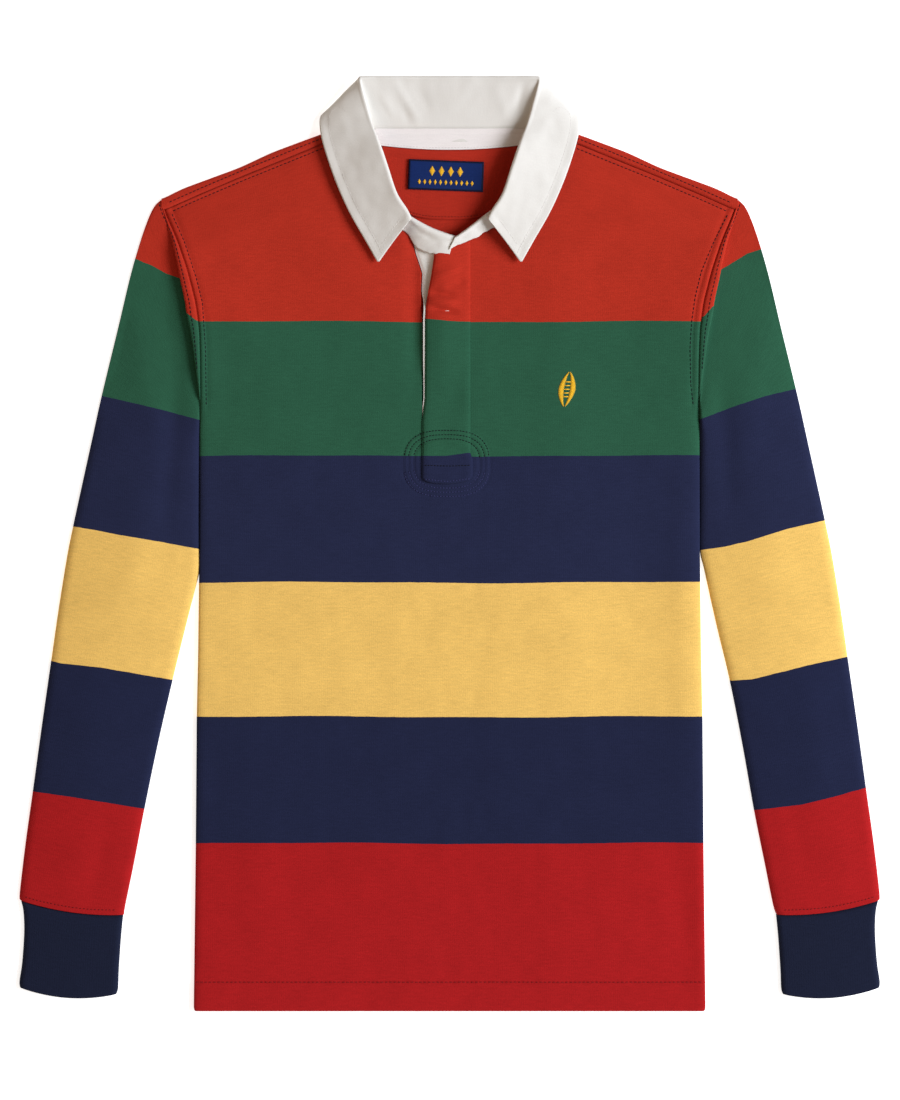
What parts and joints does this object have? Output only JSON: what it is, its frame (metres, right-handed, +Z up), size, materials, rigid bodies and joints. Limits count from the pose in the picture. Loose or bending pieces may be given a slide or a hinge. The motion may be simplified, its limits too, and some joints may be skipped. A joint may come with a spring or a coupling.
{
  "type": "rugby shirt",
  "caption": "Long-sleeved striped cotton rugby shirt with a white twill collar, a half placket and plain cuffs, laid flat on its back.",
  "frame": {"origin": "centre of the bounding box in X and Y, on the plane that the shirt lies on", "axes": "+Y from the hem to the collar, +X to the viewer's right looking down on the front, +Z up from the surface"},
  "size_m": [0.7012, 0.7616, 0.0158],
  "materials": {
    "striped_jersey": "heavy cotton jersey, yarn-dyed in wide stripes of red, green, navy, yellow and crimson",
    "red_jersey": "orange-red cotton jersey",
    "navy_cuff_knit": "dense navy cotton knit, double",
    "white_twill": "soft washed white cotton twill",
    "white_tape": "white cotton twill tape",
    "woven_label": "blue damask-woven label with a dark border and two rows of small gold lozenges"
  },
  "bodies": {
    "root": {"back_panel": "striped_jersey", "front_panel": "striped_jersey", "sleeve_left": "striped_jersey", "sleeve_right": "striped_jersey", "cuff_left": "navy_cuff_knit", "cuff_right": "navy_cuff_knit", "collar": "white_twill", "neck_tape": "white_tape", "back_neck_patch": "red_jersey", "neck_label": "woven_label", "placket_flap": "striped_jersey", "placket_underlap": "white_twill"}
  },
  "joints": []
}
